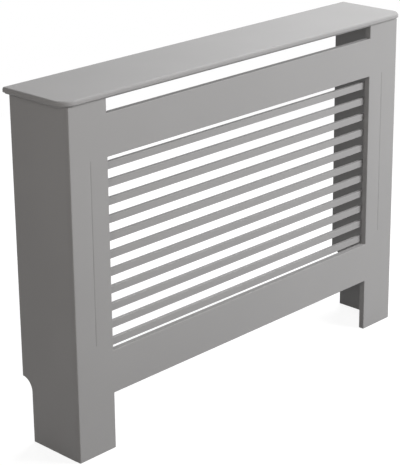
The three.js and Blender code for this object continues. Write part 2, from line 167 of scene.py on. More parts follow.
# ---------------------------------------- finishes

MIX_FACTOR, MIX_A, MIX_B, MIX_COLOUR = 0, 6, 7, 2  # the sockets of a Mix node that mixes colours
NOISE_LOW, NOISE_HIGH = 0.3, 0.7  # between these lies most of a noise


def linear(code: str) -> tuple[float, float, float, float]:
    """Turns an sRGB hex colour into linear RGBA.

    Args:
        code: The colour, such as "#A6A5A5".

    Returns:
        Red, green, blue and an alpha of 1.
    """
    channels = [int(code[start:start + 2], 16) / 255 for start in (1, 3, 5)]
    red, green, blue = [c / 12.92 if c <= 0.04045 else ((c + 0.055) / 1.055) ** 2.4 for c in channels]
    return red, green, blue, 1.0


def add_node(
    tree: Tree, kind: str, inputs: dict[str | int, object] | None = None, **settings: object
) -> bpy.types.Node:
    """Adds a node with its settings, values and links.

    Args:
        tree: The node tree.
        kind: The node's type.
        inputs: For each input, by name or number, a value or a socket to link from.
        settings: Properties of the node.

    Returns:
        The new node.
    """
    node = tree.nodes.new(kind)
    for key, value in settings.items():
        setattr(node, key, value)
    for key, value in (inputs or {}).items():
        if isinstance(value, Socket):
            tree.links.new(value, node.inputs[key])
        else:
            node.inputs[key].default_value = value
    return node


def per_metre(spacing: float) -> float:
    """The scale, on Object coordinates, of a pattern whose marks lie this many millimetres apart."""
    return 1 / mm(spacing)


def bare_tree(owner: bpy.types.Material | bpy.types.World) -> Tree:
    """Empties the node tree of a new material or world.

    Args:
        owner: The material or world.

    Returns:
        Its node tree.
    """
    owner.use_nodes = True
    owner.node_tree.nodes.clear()
    return owner.node_tree


def seen_by_eye(tree: Tree) -> Socket:
    """Marks the rays that show the surroundings to the eye, straight on or in gloss or glass.

    Args:
        tree: The node tree.

    Returns:
        1 on those rays, and 0 on the rest.
    """
    rays = add_node(tree, "ShaderNodeLightPath").outputs
    eye = rays["Is Camera Ray"]
    for ray in ("Is Glossy Ray", "Is Transmission Ray"):
        eye = add_node(tree, "ShaderNodeMath", {0: eye, 1: rays[ray]}, operation="MAXIMUM").outputs[0]
    return eye


@dataclass(frozen=True)
class Coating:
    """A finish: where it belongs, and the nodes that all finishes have in common.

    Its colour and its roughness follow one pattern, from its low end to its high end, and its relief follows
    another.
    """

    name: str
    slot: str  # the name of the material slot that the finish belongs to
    shades: tuple[str, str]
    roughness: tuple[float, float]
    relief: float  # in millimetres
    even: tuple[tuple[str, float], ...]  # the shader's values that are the same all over

    def material(self) -> bpy.types.Material:
        """Builds the finish's nodes.

        Returns:
            The material.
        """
        material = bpy.data.materials.new(self.name)
        tree = bare_tree(material)
        coat, height = self.patterns(tree, add_node(tree, "ShaderNodeTexCoord").outputs["Object"])
        low, high = [linear(shade) for shade in self.shades]
        colour = add_node(
            tree, "ShaderNodeMix", {MIX_FACTOR: coat, MIX_A: low, MIX_B: high}, data_type="RGBA"
        ).outputs[MIX_COLOUR]
        sheen, end = self.roughness
        if sheen != end:
            sheen = add_node(tree, "ShaderNodeMapRange", {
                "Value": coat, "From Min": NOISE_LOW, "From Max": NOISE_HIGH, "To Min": sheen, "To Max": end,
            }).outputs["Result"]
        normal = add_node(tree, "ShaderNodeBump", {
            "Height": height, "Distance": mm(self.relief), "Strength": 1.0,
        }).outputs["Normal"]
        skin = add_node(tree, "ShaderNodeBsdfPrincipled", {
            "Base Color": colour, "Roughness": sheen, "Normal": normal, **dict(self.even),
        })
        add_node(tree, "ShaderNodeOutputMaterial", {"Surface": skin.outputs["BSDF"]})
        return material

    def patterns(self, tree: Tree, place: Socket) -> tuple[Socket, Socket]:
        """Adds the nodes of the finish's own patterns.

        Args:
            tree: The material's node tree.
            place: The position on the piece, in metres.

        Returns:
            What the colour and the roughness follow, and what the relief follows.
        """
        raise NotImplementedError


@dataclass(frozen=True)
class SatinPaint(Coating):
    """Satin acrylic paint, sprayed on primed MDF and rubbed down between coats.

    An even mid grey with a soft, low sheen. The coat is a little thicker in broad clouds, which shifts the
    grey by a shade, and the spray dries to a faint orange peel. Cut and routed edges drink more paint than
    the pressed faces, so they dry flatter and the cut fibres stand up a little.
    """

    shades: tuple[str, str] = ("#9F9E9E", "#A4A3A3")
    roughness: tuple[float, float] = (0.56, 0.48)
    relief: float = 0.035
    even: tuple[tuple[str, float], ...] = (("IOR", 1.49), ("Specular IOR Level", 0.3))
    clouds: float = 260
    peel: float = 5  # the real peel is about 1 mm from crest to crest, which is too fine to show

    def patterns(self, tree: Tree, place: Socket) -> tuple[Socket, Socket]:
        """Adds clouds in the thickness of the coat, and orange peel."""
        coat, peel = [
            add_node(tree, "ShaderNodeTexNoise", {
                "Vector": place, "Scale": per_metre(spacing), "Detail": detail, "Roughness": rough,
            }).outputs["Fac"]
            for spacing, detail, rough in ((self.clouds, 3.0, 0.5), (self.peel, 2.0, 0.4))
        ]
        return coat, peel


@dataclass(frozen=True)
class CastZinc(Coating):
    """Die-cast zinc alloy as it leaves the mould and the tumbler.

    A dull pale metal. The die leaves a fine grain, and tumbling dulls it in soft patches of a few
    millimetres.
    """

    shades: tuple[str, str] = ("#9D9C98", "#BDBCB7")
    roughness: tuple[float, float] = (0.52, 0.32)
    relief: float = 0.02
    even: tuple[tuple[str, float], ...] = (("Metallic", 1.0),)
    patches: float = 4
    grain: float = 0.6

    def patterns(self, tree: Tree, place: Socket) -> tuple[Socket, Socket]:
        """Adds the patches and the grain."""
        patches = add_node(tree, "ShaderNodeTexNoise", {
            "Vector": place, "Scale": per_metre(self.patches), "Detail": 4.0, "Roughness": 0.6,
        })
        grain = add_node(tree, "ShaderNodeTexVoronoi", {"Vector": place, "Scale": per_metre(self.grain)})
        return patches.outputs["Fac"], grain.outputs["Distance"]


@dataclass(frozen=True)
class Streaked(Coating):
    """A finish with streaks that run one way: their spacing and length in millimetres, and their noise."""

    spacing: float = 1
    length: float = 10
    along: Axis = Axis.Y
    detail: float = 3
    rough: float = 0.6

    def streaks(self, tree: Tree, place: Socket) -> Socket:
        """Adds a noise that is drawn out along the streaks.

        Args:
            tree: The material's node tree.
            place: The position on the piece, in metres.

        Returns:
            The noise.
        """
        scale = [per_metre(self.spacing)] * 3
        scale[self.along.value] = per_metre(self.length)
        drawn = add_node(tree, "ShaderNodeMapping", {"Vector": place, "Scale": scale}).outputs["Vector"]
        return add_node(tree, "ShaderNodeTexNoise", {
            "Vector": drawn, "Scale": 1.0, "Detail": self.detail, "Roughness": self.rough,
        }).outputs["Fac"]


@dataclass(frozen=True)
class DrawnSteel(Streaked):
    """Zinc-plated or mill-finished steel that a die, a roll or a belt has drawn fine lines along.

    A cool grey metal with hair-fine streaks one way, which spread its highlights across them.
    """

    shades: tuple[str, str] = ("#9EA0A3", "#B4B6B8")
    roughness: tuple[float, float] = (0.25, 0.39)
    relief: float = 0.008
    even: tuple[tuple[str, float], ...] = (("Metallic", 1.0),)
    spacing: float = 0.35  # the real lines are about 0.1 mm apart
    length: float = 30

    def patterns(self, tree: Tree, place: Socket) -> tuple[Socket, Socket]:
        """Adds the drawn lines, which colour and relief share."""
        lines = self.streaks(tree, place)
        return lines, lines


@dataclass(frozen=True)
class Beech(Streaked):
    """Steamed beech, turned and left raw.

    A pale pinkish tan with darker ray flecks that run with the grain, dry and dull.
    """

    shades: tuple[str, str] = ("#CFAE82", "#A87E55")
    roughness: tuple[float, float] = (0.68, 0.68)
    relief: float = 0.03
    even: tuple[tuple[str, float], ...] = (("IOR", 1.5),)
    spacing: float = 0.5
    length: float = 8
    detail: float = 5
    rough: float = 0.65
    fleck_from: float = 0.45  # the grain's value where flecks start
    fleck_full: float = 0.7

    def patterns(self, tree: Tree, place: Socket) -> tuple[Socket, Socket]:
        """Adds the flecks, and the grain that they are part of."""
        grain = self.streaks(tree, place)
        flecks = add_node(tree, "ShaderNodeMapRange", {
            "Value": grain, "From Min": self.fleck_from, "From Max": self.fleck_full,
        })
        return flecks.outputs["Result"], grain


class Finish(Enum):
    """Every finish on the cabinet."""

    PAINTED_FACE = SatinPaint("satin_paint_on_mdf_face", "painted_mdf")
    PAINTED_EDGE = SatinPaint(
        "satin_paint_on_cut_mdf_edge", "painted_mdf", roughness=(0.64, 0.56), relief=0.05, clouds=90, peel=3
    )
    CAM_ZINC = CastZinc("die_cast_zinc", "zinc")
    BOLT_STEEL = DrawnSteel(
        "zinc_plated_bolt_steel", "steel", shades=("#B0B3B6", "#C6C8C9"), roughness=(0.2, 0.34)
    )
    WIRE_STEEL = DrawnSteel("galvanised_staple_wire", "steel", length=6, along=Axis.X)
    BRACKET_STEEL = DrawnSteel("brushed_bracket_steel", "bracket_steel", length=40)
    BEECH_ALONG_Y = Beech("raw_beech_front_joint", "beech")
    BEECH_ALONG_Z = Beech("raw_beech_shelf_joint", "beech", along=Axis.Z)


# ---------------------------------------- the bench


class Cut(Enum):
    """What a tool solid does to the work."""

    AWAY = "DIFFERENCE"
    ON = "UNION"


def block(low: Sequence[float], high: Sequence[float]) -> BMesh:
    """Planes a squared block.

    Args:
        low: Its corner with the least coordinates, in millimetres.
        high: The opposite corner.

    Returns:
        The block.
    """
    shape = bmesh.new()
    bmesh.ops.create_cube(shape, size=1)
    bmesh.ops.scale(shape, vec=[mm(b - a) for a, b in zip(low, high)], verts=shape.verts)
    bmesh.ops.translate(shape, vec=[mm(a + b) / 2 for a, b in zip(low, high)], verts=shape.verts)
    return shape


def block_of(node: str) -> BMesh:
    """A squared block that fills a CAD node's box."""
    return block(*zip(*[span_of(node, axis) for axis in Axis]))


def rod(start: Sequence[float], way: Vector, length: float, radius: float, sides: int = 48) -> BMesh:
    """A round bar.

    Args:
        start: The middle of its first end, in millimetres.
        way: The direction that it runs.
        length: Its length in millimetres.
        radius: Its radius in millimetres.
        sides: The number of facets round it.

    Returns:
        The bar.
    """
    centre = Vector([mm(value) for value in start]) + way * mm(length) / 2
    turn = way.to_track_quat("Z", "Y").to_matrix().to_4x4()
    shape = bmesh.new()
    bmesh.ops.create_cone(
        shape, cap_ends=True, segments=sides, radius1=mm(radius), radius2=mm(radius), depth=mm(length),
        matrix=Matrix.Translation(centre) @ turn,
    )
    return shape


def bore(node: str, axis: Axis, radius: float) -> BMesh:
    """Makes the cutter of a fastener's hole, a fit gap longer than the fastener at both ends.

    Args:
        node: The fastener's CAD node.
        axis: The axis that the hole lies along.
        radius: Its radius in millimetres.

    Returns:
        The cutter.
    """
    low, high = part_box(node)
    start = middle(node) * 1000
    start[axis.value] = low[axis.value] * 1000 - FIT_GAP
    return rod(start, axis.vector, (high - low)[axis.value] * 1000 + 2 * FIT_GAP, radius)


def turned(profile: Iterable[tuple[float, float]], sides: int = 32) -> BMesh:
    """A piece turned on a lathe round the Z axis.

    Args:
        profile: Radius and height of each point of the outline in millimetres, from the axis to the axis.
        sides: The number of facets round it.

    Returns:
        The piece.
    """
    shape = bmesh.new()
    points = [shape.verts.new((mm(radius), 0, mm(height))) for radius, height in profile]
    lines = [shape.edges.new(pair) for pair in zip(points, points[1:])]
    bmesh.ops.spin(
        shape, geom=points + lines, cent=(0, 0, 0), axis=(0, 0, 1), angle=math.tau, steps=sides,
        use_merge=True,
    )
    return closed(shape)


def closed(shape: BMesh) -> BMesh:
    """Merges the points that meet and turns the faces outwards.

    Args:
        shape: The shape, which is changed.

    Returns:
        The same shape.
    """
    bmesh.ops.remove_doubles(shape, verts=shape.verts, dist=TOUCHING)
    bmesh.ops.recalc_face_normals(shape, faces=shape.faces)
    return shape


def score(shape: BMesh, place: Sequence[float], across: Vector, waste: bool = False) -> list[BMEdge]:
    """Cuts a piece's faces along a plane.

    Args:
        shape: The piece.
        place: A point of the plane, in millimetres.
        across: The way square to the plane.
        waste: Whether what lies beyond the plane is thrown away.

    Returns:
        The edges that the plane leaves.
    """
    scored = bmesh.ops.bisect_plane(
        shape, geom=[*shape.verts, *shape.edges, *shape.faces], plane_co=[mm(value) for value in place],
        plane_no=across, clear_outer=waste,
    )
    return [part for part in scored["geom_cut"] if isinstance(part, BMEdge)]


def saw(shape: BMesh, place: Sequence[float], away: Vector) -> None:
    """Saws a piece square through a point, in millimetres, and throws away what lies beyond it."""
    bmesh.ops.contextual_create(shape, geom=score(shape, place, away, waste=True))


def face_towards(shape: BMesh, way: Vector) -> BMFace:
    """The largest of the faces that look a way."""
    shape.normal_update()
    return max((f for f in shape.faces if f.normal.dot(way) > FLAT), key=lambda f: f.calc_area())


def ends_of(edge: BMEdge) -> tuple[Vector, Vector]:
    """The two ends of an edge, in millimetres."""
    return edge.verts[0].co * 1000, edge.verts[1].co * 1000


def run_of(edge: BMEdge) -> Vector:
    """The way from an edge's first end to its second, in millimetres."""
    start, end = ends_of(edge)
    return end - start


def both(edge: BMEdge, axis: Axis, place: float) -> bool:
    """Whether both ends of an edge lie at a place along an axis, in millimetres."""
    return all(abs(end[axis.value] - place) < NEAR for end in ends_of(edge))


def soften(
    shape: BMesh, radius: float, segments: int, chosen: Callable[[BMEdge], bool] = lambda _: True
) -> None:
    """Rounds over the sharp edges of a piece.

    Args:
        shape: The piece.
        radius: The round's radius in millimetres.
        segments: Its steps.
        chosen: Says which of the sharp edges are rounded.
    """
    shape.normal_update()
    sharp = [edge for edge in shape.edges if edge.calc_face_angle(0) > SHARP_ANGLE and chosen(edge)]
    bmesh.ops.bevel(
        shape, geom=sharp, offset=mm(radius), segments=segments, profile=0.5, affect="EDGES", material=-1,
        clamp_overlap=True,
    )


def mesh_of(shape: BMesh, name: str) -> bpy.types.Mesh:
    """Turns a shape into a mesh.

    Args:
        shape: The shape, which is used up.
        name: The mesh's name.

    Returns:
        The mesh.
    """
    mesh = bpy.data.meshes.new(name)
    shape.to_mesh(mesh)
    shape.free()
    return mesh


def in_scene(name: str, data: bpy.types.ID) -> bpy.types.Object:
    """Sets up a mesh, a lamp or a camera as an object.

    Args:
        name: The object's name.
        data: What it holds.

    Returns:
        The object.
    """
    thing = bpy.data.objects.new(name, data)
    bpy.context.scene.collection.objects.link(thing)
    return thing


def placed(pattern: BMesh, place: Vector, turn: Matrix = Matrix.Identity(4)) -> BMesh:
    """A copy of a pattern, turned and then set at a place in metres."""
    shape = pattern.copy()
    shape.transform(Matrix.Translation(place) @ turn)
    return shape


def worked(work: BMesh, tools: Iterable[BMesh], cut: Cut = Cut.AWAY) -> BMesh:
    """Cuts tool solids out of a piece, or joins them on, and clears the bench.

    Args:
        work: The piece.
        tools: The solids.
        cut: What each does to the piece.

    Returns:
        The new piece.
    """
    blank, *laid = [in_scene("bench", mesh_of(part, "bench")) for part in (work, *tools)]
    for tool in laid:
        step = blank.modifiers.new("cut", "BOOLEAN")
        step.object, step.operation, step.solver = tool, cut.value, "EXACT"
    shape = bmesh.new()
    shape.from_object(blank, bpy.context.evaluated_depsgraph_get())
    for thing in (blank, *laid):
        bpy.data.meshes.remove(thing.data)
    return shape


# of a thread's pitch: where its crest starts and ends, and where its flat root starts
THREAD_TOOTH = (0.35, 0.45, 0.8)


def threaded_rod(crest: float, root: float, pitch: float, low: float, high: float, steps: int = 20) -> BMesh:
    """A screw thread round the Z axis, sawn flat at both ends.

    Args:
        crest: The thread's outer radius in millimetres.
        root: Its inner radius.
        pitch: Its rise in a turn.
        low: The height of its lower end.
        high: The height of its upper end.
        steps: The steps in a turn.

    Returns:
        The threaded bar.
    """
    shape = bmesh.new()
    turns = math.ceil((high - low) / pitch) + 1
    rise, fall, foot = THREAD_TOOTH
    tooth = ((root, 0.0), (crest, rise), (crest, fall), (root, foot))
    outline = [(radius, low + pitch * (turn - 1 + share)) for turn in range(turns) for radius, share in tooth]
    outline.append((root, low + pitch * (turns - 1)))
    points = [shape.verts.new((mm(radius), 0, mm(height))) for radius, height in outline]
    lines = [shape.edges.new(pair) for pair in zip(points, points[1:])]
    bmesh.ops.spin(
        shape, geom=points + lines, cent=(0, 0, 0), axis=(0, 0, 1), dvec=(0, 0, mm(pitch) / steps),
        angle=math.tau, steps=steps, use_merge=False,
    )
    bmesh.ops.remove_doubles(shape, verts=shape.verts, dist=TOUCHING)
    saw(shape, (0, 0, low), Vector((0, 0, -1)))
    saw(shape, (0, 0, high), Vector((0, 0, 1)))
    return closed(shape)


def point_end(shape: BMesh, tip: float, shoulder: float, keep: float) -> None:
    """Draws the end of a bar along Z in to a point.

    Args:
        shape: The bar.
        tip: The height of its end in millimetres.
        shoulder: The height where it starts to narrow.
        keep: The share of its width that is left at the tip.
    """
    for vert in shape.verts:
        reach = (vert.co.z * 1000 - shoulder) / (tip - shoulder)
        if reach > 0:
            width = 1 - (1 - keep) * reach
            vert.co.xy = vert.co.xy * width


def cross_recess(length: float, width: float, depth: float, top: float, way: float) -> list[BMesh]:
    """Makes the cutters of a crossed screwdriver recess on the Z axis.

    Args:
        length: From end to end of a slot, in millimetres.
        width: Across a slot.
        depth: Of the recess.
        top: The height of the face that it is cut in.
        way: 1 where the recess goes up from that face, -1 where it goes down.

    Returns:
        Two slots and the cone at their middle.
    """
    heights = sorted((top - way * PROUD, top + way * depth))
    slots = [
        block((-x / 2, -y / 2, heights[0]), (x / 2, y / 2, heights[1]))
        for x, y in ((length, width), (width, length))
    ]
    mouth, tip, tall, centre = 1.1 * width, 0.3 * width, 1.5 * depth, 0.7 * depth  # of the cone
    cone = bmesh.new()
    bmesh.ops.create_cone(
        cone, cap_ends=True, segments=24, radius1=mm(mouth), radius2=mm(tip), depth=mm(tall),
        matrix=Matrix.Translation((0, 0, mm(top + way * centre))) @ Matrix.Diagonal((1, 1, way, 1)),
    )
    return [*slots, closed(cone)]


@dataclass
class Workshop:
    """Finishes the meshes as pieces on the frame, and keeps the materials that they share."""

    materials: dict[Finish, bpy.types.Material] = field(default_factory=dict)
    triangles: int = 0

    def material(self, finish: Finish) -> bpy.types.Material:
        """The material of a finish, made on its first use."""
        if finish not in self.materials:
            self.materials[finish] = finish.value.material()
        return self.materials[finish]

    def deliver(
        self, name: str, shape: BMesh, finishes: Sequence[Finish], stands_for: Sequence[str] = (),
        body: str = CARCASS,
    ) -> None:
        """Makes a closed mesh a piece that rides on the frame.

        Args:
            name: The piece's name.
            shape: Its mesh in the frame's metres, which is used up.
            finishes: Its finishes, in the order of its faces' material numbers.
            stands_for: The CAD nodes that it replaces.
            body: The body that it rides on.
        """
        closed(shape)
        open_edges = sum(not edge.is_manifold for edge in shape.edges)
        if open_edges or shape.calc_volume() <= 0:
            raise ValueError(f"{name} has {open_edges} open edges and a volume of {shape.calc_volume()}")
        mesh = mesh_of(shape, name)
        for finish in finishes:
            mesh.materials.append(self.material(finish))
        mesh.shade_smooth()
        mesh.set_sharp_from_angle(angle=SHARP_ANGLE)
        piece = in_scene(name, mesh)
        piece.modifiers.new("even_faces", "WEIGHTED_NORMAL").keep_sharp = True
        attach(piece, body)
        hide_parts(*stands_for)
        mesh.calc_loop_triangles()
        self.triangles += len(mesh.loop_triangles)
        log.info("%s: %d triangles on %s", name, len(mesh.loop_triangles), body)

    def deliver_board(self, name: str, shape: BMesh, broad: Axis, stands_for: str) -> None:
        """Makes a painted board: face paint on its broad faces, and edge paint elsewhere.

        Args:
            name: The piece's name.
            shape: Its mesh in the frame's metres, which is used up.
            broad: The axis that its broad faces look along.
            stands_for: The CAD node that it replaces.
        """
        shape.normal_update()
        for face in shape.faces:
            face.material_index = int(abs(face.normal[broad.value]) < FLAT)
        self.deliver(name, shape, (Finish.PAINTED_FACE, Finish.PAINTED_EDGE), [stands_for])


# ---------------------------------------- the boards


class Fitting(Enum):
    """What joins boards: its word in the nodes' names, and its places in a front joint and a shelf joint."""

    CAM = ("cam", ("top", "middle", "bottom"), ("front", "rear"))
    BOLT = ("bolt", ("top", "middle", "bottom"), ("front", "rear"))
    DOWEL = ("dowel", ("lower", "upper"), ("front", "rear"))

    def nodes(self, side: Side, joint: Joint) -> list[str]:
        """Names the CAD nodes of these fittings.

        Args:
            side: The side board that they stand in.
            joint: Its joint.

        Returns:
            The nodes' names.
        """
        word, in_front, in_shelf = self.value
        places = in_front if joint is Joint.FRONT else in_shelf
        return [f"{side.word}_{joint.word}_{word}_{place}" for place in places]


def bracket_screws(side: Side) -> list[str]:
    """The nodes of a wall bracket's screws."""
    return [f"{side.word}_bracket_screw_{place}" for place in ("rear", "front")]


@dataclass(frozen=True)
class FastenerHoles:
    """The holes for the fasteners, as radii in millimetres."""

    cam: float = 7.5
    bolt: float = 4.0
    thread: float = 2.7
    dowel: float = 4.1
    pilot: float = 1.8

    def in_face(self, joint: Joint) -> list[BMesh]:
        """Drills for a joint's bolts and dowels, on the board whose face they enter.

        Args:
            joint: The joint.

        Returns:
            The cutters.
        """
        radii = {Fitting.BOLT: self.thread, Fitting.DOWEL: self.dowel}
        return [
            bore(node, joint.axis, radius)
            for fitting, radius in radii.items() for side in Side for node in fitting.nodes(side, joint)
        ]

    def in_side(self, side: Side) -> list[BMesh]:
        """Drills for a side board's cams, bolts and dowels.

        Args:
            side: The board.

        Returns:
            The cutters.
        """
        radii = {Fitting.BOLT: self.bolt, Fitting.DOWEL: self.dowel}
        cams = [bore(node, Axis.X, self.cam) for joint in Joint for node in Fitting.CAM.nodes(side, joint)]
        return cams + [
            bore(node, joint.axis, radius)
            for joint in Joint for fitting, radius in radii.items() for node in fitting.nodes(side, joint)
        ]

    def in_shelf(self) -> list[BMesh]:
        """The cutters for the shelf's underside."""
        pilots = [bore(node, Axis.Z, self.pilot) for side in Side for node in bracket_screws(side)]
        return self.in_face(Joint.SHELF) + pilots


HOLES = FastenerHoles()


@dataclass(frozen=True)
class MouldedShelf:
    """The top board, with an ogee moulding routed round the front and both ends."""

    corner: float = 34
    ogee: float = 3.2
    ease: float = 5  # of the top edge, rounded over and sanded
    rear_ease: float = 0.5
    corner_steps: int = 18
    arc_steps: int = 6
    sawn_off: float = 60  # what the moulded blank has past the rear edge

    def mould(self, shape: BMesh, face: BMFace, radius: float, hollow: bool) -> None:
        """Draws a face in and out by a quarter round, or by a hollow one.

        Args:
            shape: The board.
            face: The face, which moves along its own normal.
            radius: Of the quarter, in millimetres.
            hollow: Whether the quarter is a cove.
        """
        angles = [math.pi / 2 * step / self.arc_steps for step in range(self.arc_steps + 1)]
        for start, end in zip(angles, angles[1:]):
            level = radius * (math.cos(start) - math.cos(end))
            steep = radius * (math.sin(end) - math.sin(start))
            drawn_in, moved_out = (steep, level) if hollow else (level, steep)
            bmesh.ops.inset_region(
                shape, faces=[face], thickness=mm(drawn_in), depth=mm(moved_out), use_even_offset=True,
                use_boundary=True,
            )

    def board(self) -> BMesh:
        """Moulds a blank and saws its rear edge straight.

        Returns:
            The board without its holes.
        """
        band = (CARCASS_HEIGHT + 2 * self.ogee, TOP_HEIGHT - self.ease)
        shape = block((-HALF_WIDTH, -REAR_Y, band[0]), (HALF_WIDTH, REAR_Y + self.sawn_off, band[1]))
        soften(shape, self.corner, self.corner_steps, lambda edge: abs(run_of(edge).z) > 1)
        self.mould(shape, face_towards(shape, Axis.Z.vector), self.ease, hollow=False)
        under = face_towards(shape, -Axis.Z.vector)
        self.mould(shape, under, self.ogee, hollow=False)
        self.mould(shape, under, self.ogee, hollow=True)
        saw(shape, (0, REAR_Y, 0), Axis.Y.vector)
        closed(shape)
        soften(
            shape, self.rear_ease, 2,
            lambda edge: both(edge, Axis.Y, REAR_Y) and both(edge, Axis.Z, TOP_HEIGHT),
        )
        return shape

    def build(self, shop: Workshop) -> None:
        """Makes the shelf, drilled underneath for the bolts, the dowels and the bracket screws."""
        shape = worked(self.board(), HOLES.in_shelf())
        shop.deliver_board("moulded_shelf_board", shape, Axis.Z, "top_shelf")


@dataclass(frozen=True)
class SlottedFront:
    """The front board: a sheet with the warm-air slot, the grille opening, the floor cut-out and grooves."""

    stile: float = 106
    leg: float = 133
    opening: tuple[float, float] = (234, 673)  # bottom and top
    slot_bottom: float = 768
    corner_ease: float = 3  # of the two upright corners
    edge_ease: float = 1.8
    groove_from_edge: float = 57
    groove_ends: tuple[float, float] = (256, 677)
    groove_width: float = 6
    groove_depth: float = 1.8
    groove_tip: float = 0.15
    groove_ease: float = 0.35
    groove_sides: int = 32

    def sheet(self) -> BMesh:
        """Cuts the windows out of a sheet and gives it its thickness.

        Returns:
            The board, its edges still sharp.
        """
        half_opening = HALF_CARCASS - self.stile
        columns = (-HALF_CARCASS, -half_opening, half_opening, HALF_CARCASS)
        rows = (0, self.leg, *self.opening, self.slot_bottom, CARCASS_HEIGHT)
        windows = ((1, 0), (1, 2), (1, 4))  # column and row of the cut-out, the opening and the slot
        across, upwards = len(columns) - 1, len(rows) - 1
        shape = bmesh.new()
        bmesh.ops.create_grid(shape, x_segments=across, y_segments=upwards, size=1)
        bmesh.ops.translate(shape, vec=(1, 1, 0), verts=shape.verts)
        bmesh.ops.scale(shape, vec=(across / 2, upwards / 2, 1), verts=shape.verts)
        waste = [
            face for face in shape.faces
            if tuple(int(value) for value in face.calc_center_median().xy) in windows
        ]
        for vert in shape.verts:
            vert.co = (mm(columns[round(vert.co.x)]), mm(FACE_Y), mm(rows[round(vert.co.y)]))
        bmesh.ops.delete(shape, geom=waste, context="FACES")
        raised = bmesh.ops.extrude_face_region(shape, geom=shape.faces[:])["geom"]
        rear = [part for part in raised if isinstance(part, BMVert)]
        bmesh.ops.translate(shape, vec=(0, mm(BOARD), 0), verts=rear)
        return closed(shape)

    def groove_x(self, side: Side) -> float:
        """The middle of a groove."""
        return side.value * (HALF_CARCASS - self.groove_from_edge)

    def groove(self, side: Side) -> BMesh:
        """Makes the cutter of one V-groove: a cone whose halves are drawn apart, up and down.

        Args:
            side: The groove's side.

        Returns:
            The cutter.
        """
        slope = (self.groove_width / 2 - self.groove_tip) / self.groove_depth
        no_level_point = Matrix.Rotation(math.pi / self.groove_sides, 4, "Z")
        to_face = Matrix.Rotation(math.pi / 2, 4, "X")
        depth = FACE_Y + (self.groove_depth - PROUD) / 2
        centre = Matrix.Translation((mm(self.groove_x(side)), mm(depth), 0))
        shape = bmesh.new()
        bmesh.ops.create_cone(
            shape, cap_ends=True, segments=self.groove_sides, radius1=mm(self.groove_tip),
            radius2=mm(self.groove_width / 2 + slope * PROUD), depth=mm(self.groove_depth + PROUD),
            matrix=centre @ to_face @ no_level_point,
        )
        low, high = (self.groove_ends[0] + self.groove_width / 2, self.groove_ends[1] - self.groove_width / 2)
        for vert in shape.verts:
            vert.co.z += mm(high if vert.co.z > 0 else low)
        return closed(shape)

    def is_corner(self, edge: BMEdge, y: float) -> bool:
        """Whether an edge runs up an outer corner of the board, at a depth."""
        return both(edge, Axis.Y, y) and any(both(edge, Axis.X, side.value * HALF_CARCASS) for side in Side)

    def is_free(self, edge: BMEdge) -> bool:
        """Whether an edge is one that the sander reaches, not one against a side board or the shelf."""
        return not both(edge, Axis.Z, CARCASS_HEIGHT) and not self.is_corner(edge, JOINT_Y)

    def is_groove_rim(self, edge: BMEdge) -> bool:
        """Whether an edge is one where a groove meets the face."""
        near = any(abs(ends_of(edge)[0].x - self.groove_x(side)) < self.groove_width for side in Side)
        return near and both(edge, Axis.Y, FACE_Y)

    def build(self, shop: Workshop) -> None:
        """Makes the front board.

        Args:
            shop: Where its piece is finished.
        """
        shape = self.sheet()
        soften(shape, self.corner_ease, 5, lambda edge: self.is_corner(edge, FACE_Y))
        soften(shape, self.edge_ease, 3, self.is_free)
        shape = worked(shape, [self.groove(side) for side in Side])
        soften(shape, self.groove_ease, 2, self.is_groove_rim)
        shape = worked(shape, HOLES.in_face(Joint.FRONT))
        shop.deliver_board("slotted_front_board", shape, Axis.Y, "front_panel")


